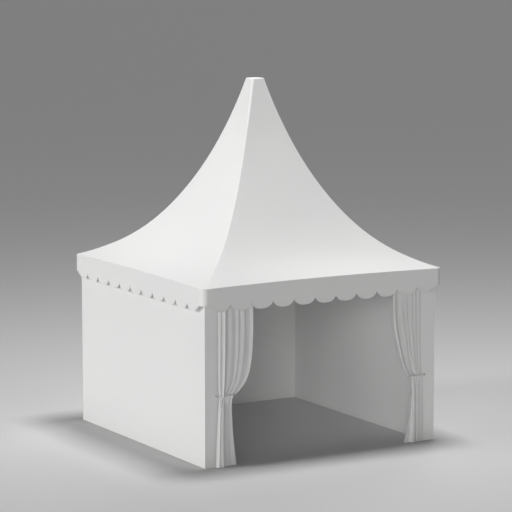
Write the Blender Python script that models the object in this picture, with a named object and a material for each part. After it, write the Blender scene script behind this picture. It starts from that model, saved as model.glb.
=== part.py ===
# Exhibition tent: a square pagoda marquee with one peak, three closed double walls and a curtained front.
# Metres. The origin is the middle of the plan on the ground, Z is up, the open front looks along -Y.
import math

import bmesh
import bpy
from mathutils import Vector

for old in list(bpy.data.objects):
    bpy.data.objects.remove(old, do_unlink=True)

# walls
halfWidth = 2.0            # from the middle to the outer face of a wall
wallDepth = 0.17           # outer face of a wall panel to the inner face of its lining
skin = 0.006               # thickness of every cloth skin
gap = 0.0003               # left between two pieces that touch

# eave and valance
overhang = 0.08            # the valance hangs this far outside the walls
eaveHalf = halfWidth + overhang
eaveMiddleHeight = 2.688
eaveCornerHeight = 2.661   # the eave sinks a little towards the corners
eaveCornerRadius = 0.10
cuspHeight = 2.41          # the points between two scallops
scallopBottom = 2.305
scallopsPerSide = 11

# roof: t runs from 0 at the eave to 1 at the peak, and roofHalf(t) below is half the roof's width there
peakHeight = 5.49
flareWidth = 0.385         # the wide skirt near the eave, which dies away fast
flareRate = 12.1
bodyRate = 1.68
taper = 0.19
faceBulge = 0.022          # a roof face stands this much further out at its middle
hipRadius = 0.03
peakHipRadius = 0.08       # the hips round off towards the peak
capHeight = 0.03
capChamfer = 0.010

# frame
postSide = 0.12
tubeWall = 0.004
beamBottom = 2.50
beamOut = halfWidth - skin - gap      # the wall panels lie against the beams
beamIn = halfWidth - wallDepth        # the linings hang under them, flush with their inner faces
postCentre = (beamIn + beamOut) / 2
basePlateSide = 0.15
basePlateThick = 0.012
headLug = 0.02             # the corner heads reach in past the beams to take the cables
mastRadius = 0.038
mastWall = 0.004
footHalf = 0.10
footCut = 0.07             # corners cut off the mast foot, where the cables end
footHigh = 2.52
footLow = 2.46
cableRadius = 0.006
cableFootHeight = 2.49
cableHeadHeight = 2.56

# front
coverWidth = 0.262         # the post cover beside each curtain
trackHeight = 2.50
trackDepth = 0.052
trackThick = 0.035
trackOverlap = 0.02        # the track runs this far over each cover
tieHeight = 1.03
tieBandHeight = 0.045
tieBandThick = 0.004
tieLoopOut = 0.206         # the end of the band's loop, from the tent's outer corner
tieLoopRadius = 0.005
pleats = 5
pleatSteps = 4

quarterTurn = math.pi / 2
sides = ("right", "back", "left", "front")                           # the +X side turned 0, 1, 2, 3 quarters
corners = ("back_right", "back_left", "front_left", "front_right")   # the +X +Y corner, likewise

coatedCloth = ((0.86, 0.86, 0.85, 1), 0.55, 0.0)
liningCloth = ((0.80, 0.80, 0.79, 1), 0.70, 0.0)
curtainCloth = ((0.84, 0.84, 0.83, 1), 0.75, 0.0)
aluminium = ((0.62, 0.63, 0.64, 1), 0.38, 1.0)
steel = ((0.50, 0.51, 0.52, 1), 0.42, 1.0)

tent = bpy.data.objects.new("tent", None)
bpy.context.scene.collection.objects.link(tent)


def makeMesh(name, bm, look):
    bmesh.ops.recalc_face_normals(bm, faces=bm.faces)
    mesh = bpy.data.meshes.new(name)
    bm.to_mesh(mesh)
    bm.free()
    mesh.shade_smooth()
    mesh.set_sharp_from_angle(angle=math.radians(35))
    material = bpy.data.materials.new(name)
    material.use_nodes = True
    shader = material.node_tree.nodes["Principled BSDF"]
    colour, roughness, metallic = look
    shader.inputs["Base Color"].default_value = colour
    shader.inputs["Roughness"].default_value = roughness
    shader.inputs["Metallic"].default_value = metallic
    material.diffuse_color = colour
    mesh.materials.append(material)
    return mesh


def place(name, mesh, location=(0, 0, 0), turn=0):
    obj = bpy.data.objects.new(name, mesh)
    obj.location = location
    obj.rotation_euler.z = turn * quarterTurn
    obj.parent = tent
    bpy.context.scene.collection.objects.link(obj)
    return obj


def loft(name, rings, look, closed=False):
    # rings of equal length joined in order; closed joins the last to the first, otherwise the ends are filled
    bm = bmesh.new()
    rows = [[bm.verts.new(point) for point in ring] for ring in rings]
    pairs = list(zip(rows, rows[1:]))
    if closed:
        pairs.append((rows[-1], rows[0]))
    for low, high in pairs:
        for i in range(len(low)):
            j = (i + 1) % len(low)
            bm.faces.new((low[i], low[j], high[j], high[i]))
    if not closed:
        bm.faces.new(rows[0])
        bm.faces.new(rows[-1])
    return makeMesh(name, bm, look)


def slab(name, plan, low, high, look):
    return loft(name, [[(x, y, z) for x, y in plan] for z in (low, high)], look)


def block(name, low, high, look):
    (x0, y0, z0), (x1, y1, z1) = low, high
    return slab(name, ((x0, y0), (x1, y0), (x1, y1), (x0, y1)), z0, z1, look)


def circle(radius, count):
    turns = [math.tau * i / count for i in range(count)]
    return [(radius * math.cos(a), radius * math.sin(a)) for a in turns]


def square(side):
    h = side / 2
    return [(-h, -h), (h, -h), (h, h), (-h, h)]


def hollowColumn(name, outer, inner, low, high, look):
    rings = []
    for plan, z in ((outer, low), (outer, high), (inner, high), (inner, low)):
        rings.append([(x, y, z) for x, y in plan])
    return loft(name, rings, look, closed=True)


def roofHalf(t):
    body = eaveHalf - flareWidth
    return flareWidth * math.exp(-flareRate * t) + body * math.exp(-bodyRate * t) - taper * t


def roofHeight(half):
    # how high the roof's surface is where it is this wide
    low, high = 0.0, 1.0
    for _ in range(40):
        t = (low + high) / 2
        if roofHalf(t) > half:
            low = t
        else:
            high = t
    return eaveCornerHeight + low * (peakHeight - eaveCornerHeight)


def roofPointHeight(along, t):
    # along runs from 0 at the middle of a side to 1 at a corner; the eave's bow dies out above it
    bow = (eaveMiddleHeight - eaveCornerHeight) * (1 - along ** 2) * max(0, 1 - 12 * t)
    return eaveCornerHeight + t * (peakHeight - eaveCornerHeight) + bow


def cornerRadiusAt(t):
    nearEave = eaveCornerRadius * (1 - 18 * t)
    nearPeak = peakHipRadius * (2.4 * t - 1.45)
    return max(hipRadius, nearEave, nearPeak)


def sideOutline(half, radius, sideSteps, arcSteps):
    # one side of a rounded square, the +X one, from the middle of one corner to the middle of the next:
    # (x, y, outward x, outward y, share of the straight part or None on the corners)
    flat = half - radius
    points = []
    for i in range(arcSteps):
        a = math.pi / 4 * (i / arcSteps - 1)
        points.append((flat + radius * math.cos(a), -flat + radius * math.sin(a), math.cos(a), math.sin(a), None))
    for i in range(sideSteps + 1):
        share = i / sideSteps * 2 - 1
        points.append((half, flat * share, 1.0, 0.0, share))
    for i in range(1, arcSteps + 1):
        a = math.pi / 4 * i / arcSteps
        points.append((flat + radius * math.cos(a), flat + radius * math.sin(a), math.cos(a), math.sin(a), None))
    return points


def offDiagonal(x, y):
    # draws a point on the diagonal back by half a gap, so that two sides meet without touching
    shift = gap / 2 / math.sqrt(2)
    if abs(y) > x - 2 * shift:
        middle = (x + abs(y)) / 2
        return middle + shift, math.copysign(middle - shift, y)
    return x, y


print("roof gores and peak cap")
goreRows = 16
capBottom = peakHeight - capHeight
goreTop = (capBottom - gap - eaveCornerHeight) / (peakHeight - eaveCornerHeight)
outerRows = []
for row in range(goreRows + 1):
    t = goreTop * (row / goreRows) ** 1.25
    half = roofHalf(t)
    radius = min(cornerRadiusAt(t), 0.7 * half)
    bulge = faceBulge * math.sin(math.pi * t / 0.7) if t < 0.7 else 0
    points = []
    for x, y, outX, outY, share in sideOutline(half, radius, 10, 3):
        if share is not None:
            x += bulge * (1 - share ** 2)
        points.append(Vector((x, y, roofPointHeight(min(1, abs(y) / half), t))))
    outerRows.append(points)
innerRows = []
for row, points in enumerate(outerRows):
    below = outerRows[max(row - 1, 0)]
    above = outerRows[min(row + 1, goreRows)]
    inner = []
    for i, point in enumerate(points):
        # on the diagonal the inward direction lies in the diagonal plane
        up = above[i] - below[i]
        if i in (0, len(points) - 1):
            level = Vector((1, math.copysign(1, point.y), 0)).normalized()
            inward = (up.cross(level).cross(up)).normalized() * -1
        else:
            inward = (points[i + 1] - points[i - 1]).cross(up).normalized() * -1
        inner.append(point + inward * skin)
    innerRows.append(inner)
rings = []
for outer, inner in zip(outerRows, innerRows):
    ring = []
    for point in outer + inner[::-1]:
        x, y = offDiagonal(point.x, point.y)
        ring.append((x, y, point.z))
    rings.append(ring)
rings[-1] = [(x, y, capBottom - gap) for x, y, z in rings[-1]]   # the top edge is level under the cap
gore = loft("roof_gore", rings, coatedCloth)
for turn, side in enumerate(sides):
    place("roof_gore_" + side, gore, turn=turn)


def roundedSquare(half, radius):
    plan = []
    for turn in range(4):
        for x, y, *_ in sideOutline(half, radius, 2, 3)[:-1]:
            for _ in range(turn):
                x, y = -y, x
            plan.append((x, y))
    return plan


rings = []
for t, inset, z in ((goreTop, 0, capBottom), (1, 0, peakHeight - capChamfer), (1, capChamfer, peakHeight)):
    half = roofHalf(t) - inset
    rings.append([(x, y, z) for x, y in roundedSquare(half, 0.7 * half)])
place("peak_cap", loft("peak_cap", rings, coatedCloth))

print("valances")


def scallopEdge(share):
    # lower edge of a valance; round lobes with steep flanks beside each point
    if share is None:
        return cuspHeight
    t = abs((share + 1) / 2 * scallopsPerSide % 1 * 2 - 1)
    return cuspHeight - (cuspHeight - scallopBottom) * (1 - t ** 2.6) ** 0.62


rings = []
for x, y, outX, outY, share in sideOutline(eaveHalf, eaveCornerRadius, 8 * scallopsPerSide, 4):
    top = roofPointHeight(min(1, abs(y) / eaveHalf), 0) - skin - gap
    low = scallopEdge(share)
    outside = offDiagonal(x, y)
    inside = offDiagonal(x - outX * skin, y - outY * skin)
    rings.append([(*outside, low), (*outside, top), (*inside, top), (*inside, low)])
valance = loft("valance", rings, coatedCloth)
for turn, side in enumerate(sides):
    place("valance_" + side, valance, turn=turn)

print("walls")
roofClearance = 1.2 * skin + 0.002         # the roof's skin measured upright, and a little air
hipClearance = 0.03                        # tops near a corner stay under the rounded hips
wallTop = roofHeight(halfWidth + hipClearance) - roofClearance
liningTop = beamBottom - gap
for sign, side in ((-1, "left"), (1, "right")):
    x0, x1 = sorted((sign * (halfWidth - skin), sign * halfWidth))
    low, high = (x0, -halfWidth, 0), (x1, halfWidth - skin - gap, wallTop)
    place("wall_panel_" + side, block("wall_panel_" + side, low, high, coatedCloth))
    x0, x1 = sorted((sign * beamIn, sign * (beamIn + skin)))
    low, high = (x0, -beamIn + gap, 0), (x1, beamIn - gap, liningTop)
    place("wall_lining_" + side, block("wall_lining_" + side, low, high, liningCloth))
low, high = (-halfWidth, halfWidth - skin, 0), (halfWidth, halfWidth, wallTop)
place("wall_panel_back", block("wall_panel_back", low, high, coatedCloth))
low, high = (-beamIn - skin, beamIn, 0), (beamIn + skin, beamIn + skin, liningTop)
place("wall_lining_back", block("wall_lining_back", low, high, liningCloth))

print("post covers")
coverOutside = halfWidth - skin - gap
coverInside = halfWidth - coverWidth
coverPlan = (
    (coverOutside, -halfWidth),
    (coverInside, -halfWidth),
    (coverInside, -beamIn),
    (beamIn + skin, -beamIn),
    (beamIn + skin, -beamIn - skin),
    (coverInside + skin, -beamIn - skin),
    (coverInside + skin, -halfWidth + skin),
    (coverOutside, -halfWidth + skin),
)
for sign, side in ((-1, "left"), (1, "right")):
    plan = [(sign * x, y) for x, y in coverPlan]
    place("post_cover_" + side, slab("post_cover_" + side, plan, 0, beamBottom - gap, coatedCloth))

print("posts, heads and beams")
basePlate = slab("base_plate", square(basePlateSide), 0, basePlateThick, steel)
postLow, postHigh = basePlateThick + gap, beamBottom - gap
cornerPost = hollowColumn(
    "corner_post", square(postSide), square(postSide - 2 * tubeWall), postLow, postHigh, aluminium
)
headOut = beamOut - postCentre
headIn = beamIn - headLug - postCentre
headCut = beamIn - postCentre
headPlan = ((headOut, headOut), (headIn, headOut), (headIn, headCut), (headCut, headIn), (headOut, headIn))
headTop = roofHeight(beamOut + hipClearance) - roofClearance
cornerHead = slab("corner_head", headPlan, beamBottom, headTop, aluminium)
for turn, corner in enumerate(corners):
    angle = quarterTurn * (turn + 0.5)
    out = postCentre * math.sqrt(2)
    location = (out * math.cos(angle), out * math.sin(angle), 0)
    place("base_plate_" + corner, basePlate, location, turn)
    place("corner_post_" + corner, cornerPost, location, turn)
    place("corner_head_" + corner, cornerHead, location, turn)


def beamSection(inset):
    # out from the middle of the tent, and up; the top slopes with the roof
    outTop = roofHeight(beamOut) - roofClearance
    inTop = roofHeight(beamIn) - roofClearance
    slope = (inTop - outTop) / (beamOut - beamIn)
    out, inn = beamOut - inset, beamIn + inset
    top = outTop + slope * inset - 1.15 * inset
    return ((inn, beamBottom + inset), (out, beamBottom + inset), (out, top), (inn, top + slope * (out - inn)))


beamReach = beamIn - headLug - gap
rings = []
for inset, y in ((0, -beamReach), (0, beamReach), (tubeWall, beamReach), (tubeWall, -beamReach)):
    rings.append([(out, y, z) for out, z in beamSection(inset)])
eaveBeam = loft("eave_beam", rings, aluminium, closed=True)
for turn, side in enumerate(sides):
    place("eave_beam_" + side, eaveBeam, turn=turn)

print("mast and cables")
mastOuter, mastInner = circle(mastRadius, 24), circle(mastRadius - mastWall, 24)
kingPole = hollowColumn("king_pole", mastOuter, mastInner, footHigh + gap, capBottom - gap, aluminium)
place("king_pole", kingPole)
footPlan = []
for turn in range(4):
    for x, y in ((footHalf, footCut - footHalf), (footHalf, footHalf - footCut)):
        for _ in range(turn):
            x, y = -y, x
        footPlan.append((x, y))
place("mast_foot", slab("mast_foot", footPlan, footLow, footHigh, steel))
# a cable's two ends are cut upright, flat on the foot and on the head
nearEnd = (2 * footHalf - footCut) / math.sqrt(2) + gap
farEnd = (2 * beamIn - headLug) / math.sqrt(2) - gap
rings = []
for out, height in ((nearEnd, cableFootHeight), (farEnd, cableHeadHeight)):
    rings.append([(out, u, height + v) for u, v in circle(cableRadius, 10)])
cable = loft("cross_cable", rings, steel)
for turn, corner in enumerate(corners):
    place("cross_cable_" + corner, cable, turn=turn + 0.5)

print("curtains, bands and track")


def valueAt(stops, z):
    # straight between (height, value) stops
    for (z0, v0), (z1, v1) in zip(stops, stops[1:]):
        if z <= z1:
            return v0 + (v1 - v0) * max(0, (z - z0) / (z1 - z0))
    return stops[-1][1]


# how far in from the tent's outer corner a curtain's two edges are, and how deep it is, by height
bellyEdge = (
    (0, 0.540), (0.37, 0.494), (0.72, 0.462), (1.055, 0.461), (1.10, 0.545), (1.26, 0.670),
    (1.5, 0.750), (1.8, 0.797), (2.1, 0.812), (2.5, 0.800),
)
postEdge = ((0, 0.178), (0.5, 0.205), (1.005, 0.252), (1.055, 0.252), (1.12, 0.232), (2.5, 0.250))
curtainDepth = (
    (0, 0.066), (0.6, 0.054), (1.005, 0.042), (1.055, 0.042), (1.12, 0.062), (1.5, 0.062), (2.5, 0.050),
)
curtainTop = trackHeight - gap
curtainBack = -halfWidth - 0.0013
bandLow = tieHeight - tieBandHeight / 2
bandHigh = tieHeight + tieBandHeight / 2
tiedBack = curtainBack - tieBandThick - 2 * gap
tiedFront = tiedBack - valueAt(curtainDepth, tieHeight)
levels = (
    0, 0.2, 0.45, 0.7, 0.9, bandLow - 0.006, bandLow, bandHigh, bandHigh + 0.012,
    1.12, 1.2, 1.32, 1.5, 1.75, 2.0, 2.25, curtainTop,
)


def bandOutline(grow):
    # hugs round the curtain's corners at the tie and the end of the loop
    discs = [(tieLoopOut, (tiedBack + tiedFront) / 2, tieLoopRadius)]
    for u in (valueAt(postEdge, tieHeight), valueAt(bellyEdge, tieHeight)):
        discs.append((u, tiedBack, 0))
        discs.append((u, tiedFront, 0))
    points = []
    for outX, outY in circle(1, 20):
        x, y, radius = max(discs, key=lambda disc: disc[0] * outX + disc[1] * outY + disc[2])
        points.append((x + (radius + grow) * outX, y + (radius + grow) * outY))
    return points


for sign, side in ((-1, "left"), (1, "right")):
    rings = []
    for z in levels:
        belly, post, depth = valueAt(bellyEdge, z), valueAt(postEdge, z), valueAt(curtainDepth, z)
        held = bandLow <= z <= bandHigh
        back = tiedBack if held else curtainBack
        ring = []
        for i in range(pleats * pleatSteps + 1):
            t = i / (pleats * pleatSteps)
            fold = 1 if held else 0.66 - 0.34 * math.cos(math.tau * pleats * t)
            ring.append((sign * (halfWidth - post - (belly - post) * t), back - depth * fold, z))
        ring.append((sign * (halfWidth - belly), back, z))
        ring.append((sign * (halfWidth - post), back, z))
        rings.append(ring)
    place("curtain_" + side, loft("curtain_" + side, rings, curtainCloth))
    rings = []
    for grow, z in ((tieBandThick, bandLow), (tieBandThick, bandHigh), (2 * gap, bandHigh), (2 * gap, bandLow)):
        rings.append([(sign * (halfWidth - u), y, z) for u, y in bandOutline(grow)])
    place("tie_band_" + side, loft("tie_band_" + side, rings, curtainCloth, closed=True))

trackHalf = coverInside + trackOverlap
low = (-trackHalf, -beamOut - gap - trackDepth, trackHeight)
high = (trackHalf, -beamOut - gap, trackHeight + trackThick)
place("curtain_track", block("curtain_track", low, high, aluminium))
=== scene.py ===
# Exhibition tent: the finished cloth, curtains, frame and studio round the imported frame.
# Metres, Z up, the open front looks along -Y.
import math

import bmesh
import bpy
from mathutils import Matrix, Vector, noise


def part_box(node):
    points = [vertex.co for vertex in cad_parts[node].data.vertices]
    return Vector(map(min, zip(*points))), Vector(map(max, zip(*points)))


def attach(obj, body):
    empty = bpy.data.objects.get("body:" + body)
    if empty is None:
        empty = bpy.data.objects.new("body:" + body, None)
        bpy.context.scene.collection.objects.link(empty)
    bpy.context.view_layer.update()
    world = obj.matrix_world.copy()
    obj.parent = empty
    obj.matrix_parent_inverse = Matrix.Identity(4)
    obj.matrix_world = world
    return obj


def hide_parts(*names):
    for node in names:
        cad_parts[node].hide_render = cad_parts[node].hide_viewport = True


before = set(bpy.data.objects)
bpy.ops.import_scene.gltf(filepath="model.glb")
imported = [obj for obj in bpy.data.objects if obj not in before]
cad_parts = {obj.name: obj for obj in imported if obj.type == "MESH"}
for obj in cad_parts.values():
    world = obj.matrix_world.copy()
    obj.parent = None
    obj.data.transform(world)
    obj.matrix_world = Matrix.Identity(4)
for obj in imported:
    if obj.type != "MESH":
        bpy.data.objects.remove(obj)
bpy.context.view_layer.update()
sides = ("front", "right", "back", "left")
quarter = math.pi / 2

# sizes that the frame gives
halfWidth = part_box("wall_panel_right")[1].x
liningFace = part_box("wall_lining_right")[0].x          # inner face of the linings
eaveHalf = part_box("valance_right")[1].x
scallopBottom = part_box("valance_front")[0].z
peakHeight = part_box("peak_cap")[1].z
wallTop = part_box("wall_panel_right")[1].z
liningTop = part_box("wall_lining_right")[1].z

# the roof's form, as the frame has it but drawn in a little above the eave
roofShape = {
    "eaveCornerHeight": 2.661,
    "eaveMiddleHeight": 2.688,
    "bowFade": 12.0,           # how fast the eave's bow dies away up the roof
    "flareWidth": 0.385,       # the skirt near the eave, which dies away fast
    "flareRate": 13.2,
    "bodyRate": 1.68,
    "taper": 0.19,
    "waist": 0.0155,           # the cloth is drawn in this much above the skirt
    "waistRate": 12.0,
    "faceBulge": 0.022,
    "bulgeTop": 0.7,           # the faces bulge from the eave up to here
    "eaveCornerRadius": 0.10,
    "eaveCornerFade": 18.0,
    "hipRadius": 0.014,
    "peakHipRadius": 0.045,
    "peakHipGrowth": 2.4,      # the hips grow rounder towards the peak
    "peakHipStart": 1.45,
}


class Wire:
    # one socket of a node tree; sums written with wires add their own Math nodes
    def __init__(self, sketch, socket):
        self.sketch = sketch
        self.socket = socket

    def maths(self, operation, *others):
        values = dict(enumerate((self, *others)))
        return self.sketch.node("ShaderNodeMath", {"operation": operation}, values)

    def of(self, first, operation):
        return self.sketch.node("ShaderNodeMath", {"operation": operation}, {0: first, 1: self})

    def output(self, name):
        return Wire(self.sketch, self.socket.node.outputs[name])

    def __add__(self, other):
        return self.maths("ADD", other)

    def __sub__(self, other):
        return self.maths("SUBTRACT", other)

    def __rsub__(self, other):
        return self.of(other, "SUBTRACT")

    def __mul__(self, other):
        return self.maths("MULTIPLY", other)

    def __truediv__(self, other):
        return self.maths("DIVIDE", other)

    def __rtruediv__(self, other):
        return self.of(other, "DIVIDE")

    def __pow__(self, other):
        return self.maths("POWER", other)

    def __rpow__(self, other):
        return self.of(other, "POWER")

    def __abs__(self):
        return self.maths("ABSOLUTE")

    __radd__ = __add__
    __rmul__ = __mul__


class Sketch:
    # a node tree that is being drawn; node() makes every node in it
    def __init__(self, tree):
        self.tree = tree

    def node(self, kind, settings=None, sockets=None, output=0):
        made = self.tree.nodes.new(kind)
        for name, value in (settings or {}).items():
            setattr(made, name, value)
        for name, value in (sockets or {}).items():
            if isinstance(value, Wire):
                self.tree.links.new(value.socket, made.inputs[name])
            else:
                made.inputs[name].default_value = value
        return Wire(self, made.outputs[output]) if output is not None else made

    def vector(self, x, y, z):
        return self.node("ShaderNodeCombineXYZ", None, {0: x, 1: y, 2: z})

    def parts(self, vector):
        x = self.node("ShaderNodeSeparateXYZ", None, {0: vector})
        return x, x.output("Y"), x.output("Z")

    def join(self, *shapes):
        whole = self.node("GeometryNodeJoinGeometry")
        for shape in shapes:
            self.tree.links.new(shape.socket, whole.socket.node.inputs[0])
        return whole


def sine(x):
    return x.maths("SINE")


def cosine(x):
    return x.maths("COSINE")


def least(x, limit):
    return x.maths("MINIMUM", limit)


def most(x, limit):
    # works on a plain number too
    return x.maths("MAXIMUM", limit) if isinstance(x, Wire) else max(x, limit)


def between(x, low=0.0, high=1.0):
    return most(least(x, high), low)


def fading(t, rate):
    return math.e ** (t * -rate)


def roofHalf(t):
    # half the roof's width, from t 0 at the eave to 1 at the peak
    flare = roofShape["flareWidth"]
    return (
        flare * fading(t, roofShape["flareRate"]) + (eaveHalf - flare) * fading(t, roofShape["bodyRate"])
        - t * roofShape["taper"] - (1.0 - fading(t, roofShape["waistRate"])) * roofShape["waist"]
    )


def roofRise(t):
    return roofShape["eaveCornerHeight"] + t * (peakHeight - roofShape["eaveCornerHeight"])


def eaveBow(along, t):
    # the eave stands higher at the middle of a side than at its corners
    rise = roofShape["eaveMiddleHeight"] - roofShape["eaveCornerHeight"]
    return (1.0 - along * along) * most(1.0 - t * roofShape["bowFade"], 0.0) * rise


def hipRadiusAt(t):
    nearEave = roofShape["eaveCornerRadius"] * (1.0 - t * roofShape["eaveCornerFade"])
    nearPeak = roofShape["peakHipRadius"] * (t * roofShape["peakHipGrowth"] - roofShape["peakHipStart"])
    return most(most(nearEave, nearPeak), roofShape["hipRadius"])


def sideOutline(share, half, radius, straight):
    # a side of a rounded square: share runs from -1 at the middle of one corner to 1 at the next one,
    # and the straight part takes up the middle of it; gives how far out and how far along
    flat = half - radius
    angle = most(abs(share) - straight, 0.0) * (math.pi / 4 / (1 - straight))
    out = flat + radius * cosine(angle)
    along = flat * between(share / straight, -1.0, 1.0) + radius * sine(angle) * share.maths("SIGN")
    return out, along


# trees, meshes and pieces

def startShape(name, sizes):
    # a Geometry Nodes tree with a named input for each size, and the wires of those inputs
    tree = bpy.data.node_groups.new(name, "GeometryNodeTree")
    tree.interface.new_socket(name="Geometry", in_out="INPUT", socket_type="NodeSocketGeometry")
    tree.interface.new_socket(name="Geometry", in_out="OUTPUT", socket_type="NodeSocketGeometry")
    for label in sizes:
        tree.interface.new_socket(name=label, in_out="INPUT", socket_type="NodeSocketFloat")
    sketch = Sketch(tree)
    inputs = sketch.node("NodeGroupInput")
    return sketch, inputs.output("Geometry"), {label: inputs.output(label) for label in sizes}


def endShape(sketch, geometry, finish):
    solid = sketch.node("GeometryNodeRealizeInstances", None, {"Geometry": geometry})
    painted = sketch.node("GeometryNodeSetMaterial", None, {"Geometry": solid, "Material": finish})
    sketch.node("NodeGroupOutput", None, {"Geometry": painted}, None)


def onPoints(sketch, points, shape, finish, facing=None):
    # ends the tree with the shape on every point, its Z turned along facing
    sockets = {"Points": points, "Instance": shape}
    if facing:
        settings = {"axis": "Z"}
        sockets["Rotation"] = sketch.node("FunctionNodeAlignRotationToVector", settings, {"Vector": facing})
    endShape(sketch, sketch.node("GeometryNodeInstanceOnPoints", None, sockets), finish)


def startRing(name, sizes, columns, rows):
    # a grid to bend round the tent, columns on each side: each point's row, its side of the tent, and its
    # share of the way along that side, from -1 to 1
    sketch, _, size = startShape(name, sizes)
    counts = {"Size X": 1.0, "Size Y": 1.0, "Vertices X": columns * 4 + 1, "Vertices Y": rows + 1}
    grid = sketch.node("GeometryNodeMeshGrid", None, counts)
    x, y, _ = sketch.parts(sketch.node("GeometryNodeInputPosition"))
    turn = (x + 0.5) * 4.0
    side = (turn + 0.0001).maths("FLOOR")
    return sketch, size, grid, (y + 0.5) * rows, side, (turn - side) * 2.0 - 1.0


def endRing(sketch, grid, side, out, along, height, clothPlace):
    # turns every point to its side of the tent, closes the ring and keeps the place on the flat cloth
    angle = side * quarter
    x = out * cosine(angle) - along * sine(angle)
    y = out * sine(angle) + along * cosine(angle)
    settings = {"data_type": "FLOAT2", "domain": "CORNER"}
    sockets = {"Geometry": grid, "Name": "cloth", "Value": sketch.vector(*clothPlace, 0.0)}
    stored = sketch.node("GeometryNodeStoreNamedAttribute", settings, sockets)
    sockets = {"Geometry": stored, "Position": sketch.vector(x, y, height)}
    shaped = sketch.node("GeometryNodeSetPosition", None, sockets)
    closed = sketch.node("GeometryNodeMergeByDistance", None, {"Geometry": shaped, "Distance": 0.0003})
    endShape(sketch, closed, canopyCloth)


def addObject(name, data):
    made = bpy.data.objects.new(name, data)
    bpy.context.scene.collection.objects.link(made)
    return made


def runShape(name, sketch, sizes, start=None):
    # the tree's result as a plain mesh
    holder = addObject(name + "_holder", start or bpy.data.meshes.new(name + "_start"))
    modifier = holder.modifiers.new("shape", "NODES")
    modifier.node_group = sketch.tree
    for socket in sketch.tree.interface.items_tree:
        if socket.in_out == "INPUT" and socket.name in sizes:
            modifier[socket.identifier] = sizes[socket.name]
    graph = bpy.context.evaluated_depsgraph_get()
    mesh = bpy.data.meshes.new_from_object(holder.evaluated_get(graph))
    mesh.name = name
    holder.modifiers.remove(modifier)
    bpy.data.objects.remove(holder)
    return mesh


def makePiece(name, mesh, finish, stands=()):
    # finish is None where the mesh comes from a tree, which has set it
    piece = addObject(name, mesh)
    if finish:
        mesh.materials.clear()
        mesh.materials.append(finish)
    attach(piece, "root")
    if stands:
        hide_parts(*stands)
    return piece


def thicken(piece, thickness, offset=-1.0):
    # the cut edges stay crisp, so that no shading runs over from them
    bm = bmesh.new()
    bm.from_mesh(piece.data)
    for edge in bm.edges:
        edge.smooth = edge.smooth and not edge.is_boundary
    bm.to_mesh(piece.data)
    bm.free()
    modifier = piece.modifiers.new("thickness", "SOLIDIFY")
    modifier.thickness = thickness
    modifier.offset = offset
    modifier.use_even_offset = True


def smoothMesh(mesh, sharpAngle=35):
    mesh.shade_smooth()
    mesh.set_sharp_from_angle(angle=math.radians(sharpAngle))
    return mesh


def meshFrom(bm, name):
    mesh = bpy.data.meshes.new(name)
    bm.to_mesh(mesh)
    bm.free()
    return mesh


def gridMesh(name, rows, across, upwards, closed=False, flip=False):
    # rows of points joined into a skin; across and upwards are where its columns and rows are on the flat
    # cloth, which its UV map keeps
    bm = bmesh.new()
    layer = bm.loops.layers.uv.new("cloth")
    made = [[bm.verts.new(point) for point in row] for row in rows]
    count = len(rows[0])
    for r in range(len(rows) - 1):
        for i in range(count if closed else count - 1):
            corners = [(r, i), (r, i + 1), (r + 1, i + 1), (r + 1, i)]
            if flip:
                corners.reverse()
            face = bm.faces.new([made[a][b % count] for a, b in corners])
            for loop, (a, b) in zip(face.loops, corners):
                loop[layer].uv = (across[b], upwards[a])
    return meshFrom(bm, name)


def ringsMesh(name, rings, closed=False):
    # rings of points joined into a solid, capped at its ends unless it closes on itself
    bm = bmesh.new()
    made = [[bm.verts.new(point) for point in ring] for ring in rings]
    count = len(rings[0])
    for first, second in zip(made, made[1:] + made[:1] if closed else made[1:]):
        for k in range(count):
            bm.faces.new((first[k], first[(k + 1) % count], second[(k + 1) % count], second[k]))
    if not closed:
        bm.faces.new(made[0][::-1])
        bm.faces.new(made[-1])
    bmesh.ops.recalc_face_normals(bm, faces=bm.faces)
    return meshFrom(bm, name)


def ringRound(centre, across, other, radius, sides):
    turns = [math.tau * k / sides for k in range(sides)]
    return [centre + radius * (math.cos(a) * across + math.sin(a) * other) for a in turns]


def lengthsAlong(path):
    # how far along a line in plan each of its points is
    lengths = [0.0]
    for (x0, y0), (x1, y1) in zip(path, path[1:]):
        lengths.append(lengths[-1] + math.hypot(x1 - x0, y1 - y0))
    return lengths


def quarterTurned(spot, turns):
    for _ in range(turns):
        spot = Vector((-spot.y, spot.x, spot.z))
    return spot


# finishes

def newFinish(name, roughness, metallic=0.0, constants=None):
    # a material, its sketch and the place of a point on its piece
    material = bpy.data.materials.new(name)
    material.use_nodes = True
    shader = material.node_tree.nodes["Principled BSDF"]
    for socket, value in {"Roughness": roughness, "Metallic": metallic, **(constants or {})}.items():
        shader.inputs[socket].default_value = value
    sketch = Sketch(material.node_tree)
    return material, sketch, sketch.node("ShaderNodeTexCoord", output="Object")


def feed(sketch, colour, roughness=None, normal=None):
    shader = sketch.tree.nodes["Principled BSDF"]
    for socket, wire in (("Base Color", colour), ("Roughness", roughness), ("Normal", normal)):
        if wire:
            sketch.tree.links.new(wire.socket, shader.inputs[socket])


def mixColour(sketch, share, first, second):
    return sketch.node("ShaderNodeMix", {"data_type": "RGBA"}, {0: share, 6: first, 7: second}, 2)


def noiseOn(sketch, place, scale, detail=2.0, roughness=0.5, stretch=(1, 1, 1)):
    turned = sketch.node("ShaderNodeMapping", None, {"Vector": place, "Scale": stretch})
    sockets = {"Vector": turned, "Scale": scale, "Detail": detail, "Roughness": roughness}
    return sketch.node("ShaderNodeTexNoise", None, sockets, "Fac")


def bumpFrom(sketch, height, distance, strength=1.0, under=None):
    sockets = {"Height": height, "Distance": distance, "Strength": strength}
    if under:
        sockets["Normal"] = under
    return sketch.node("ShaderNodeBump", None, sockets)


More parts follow.
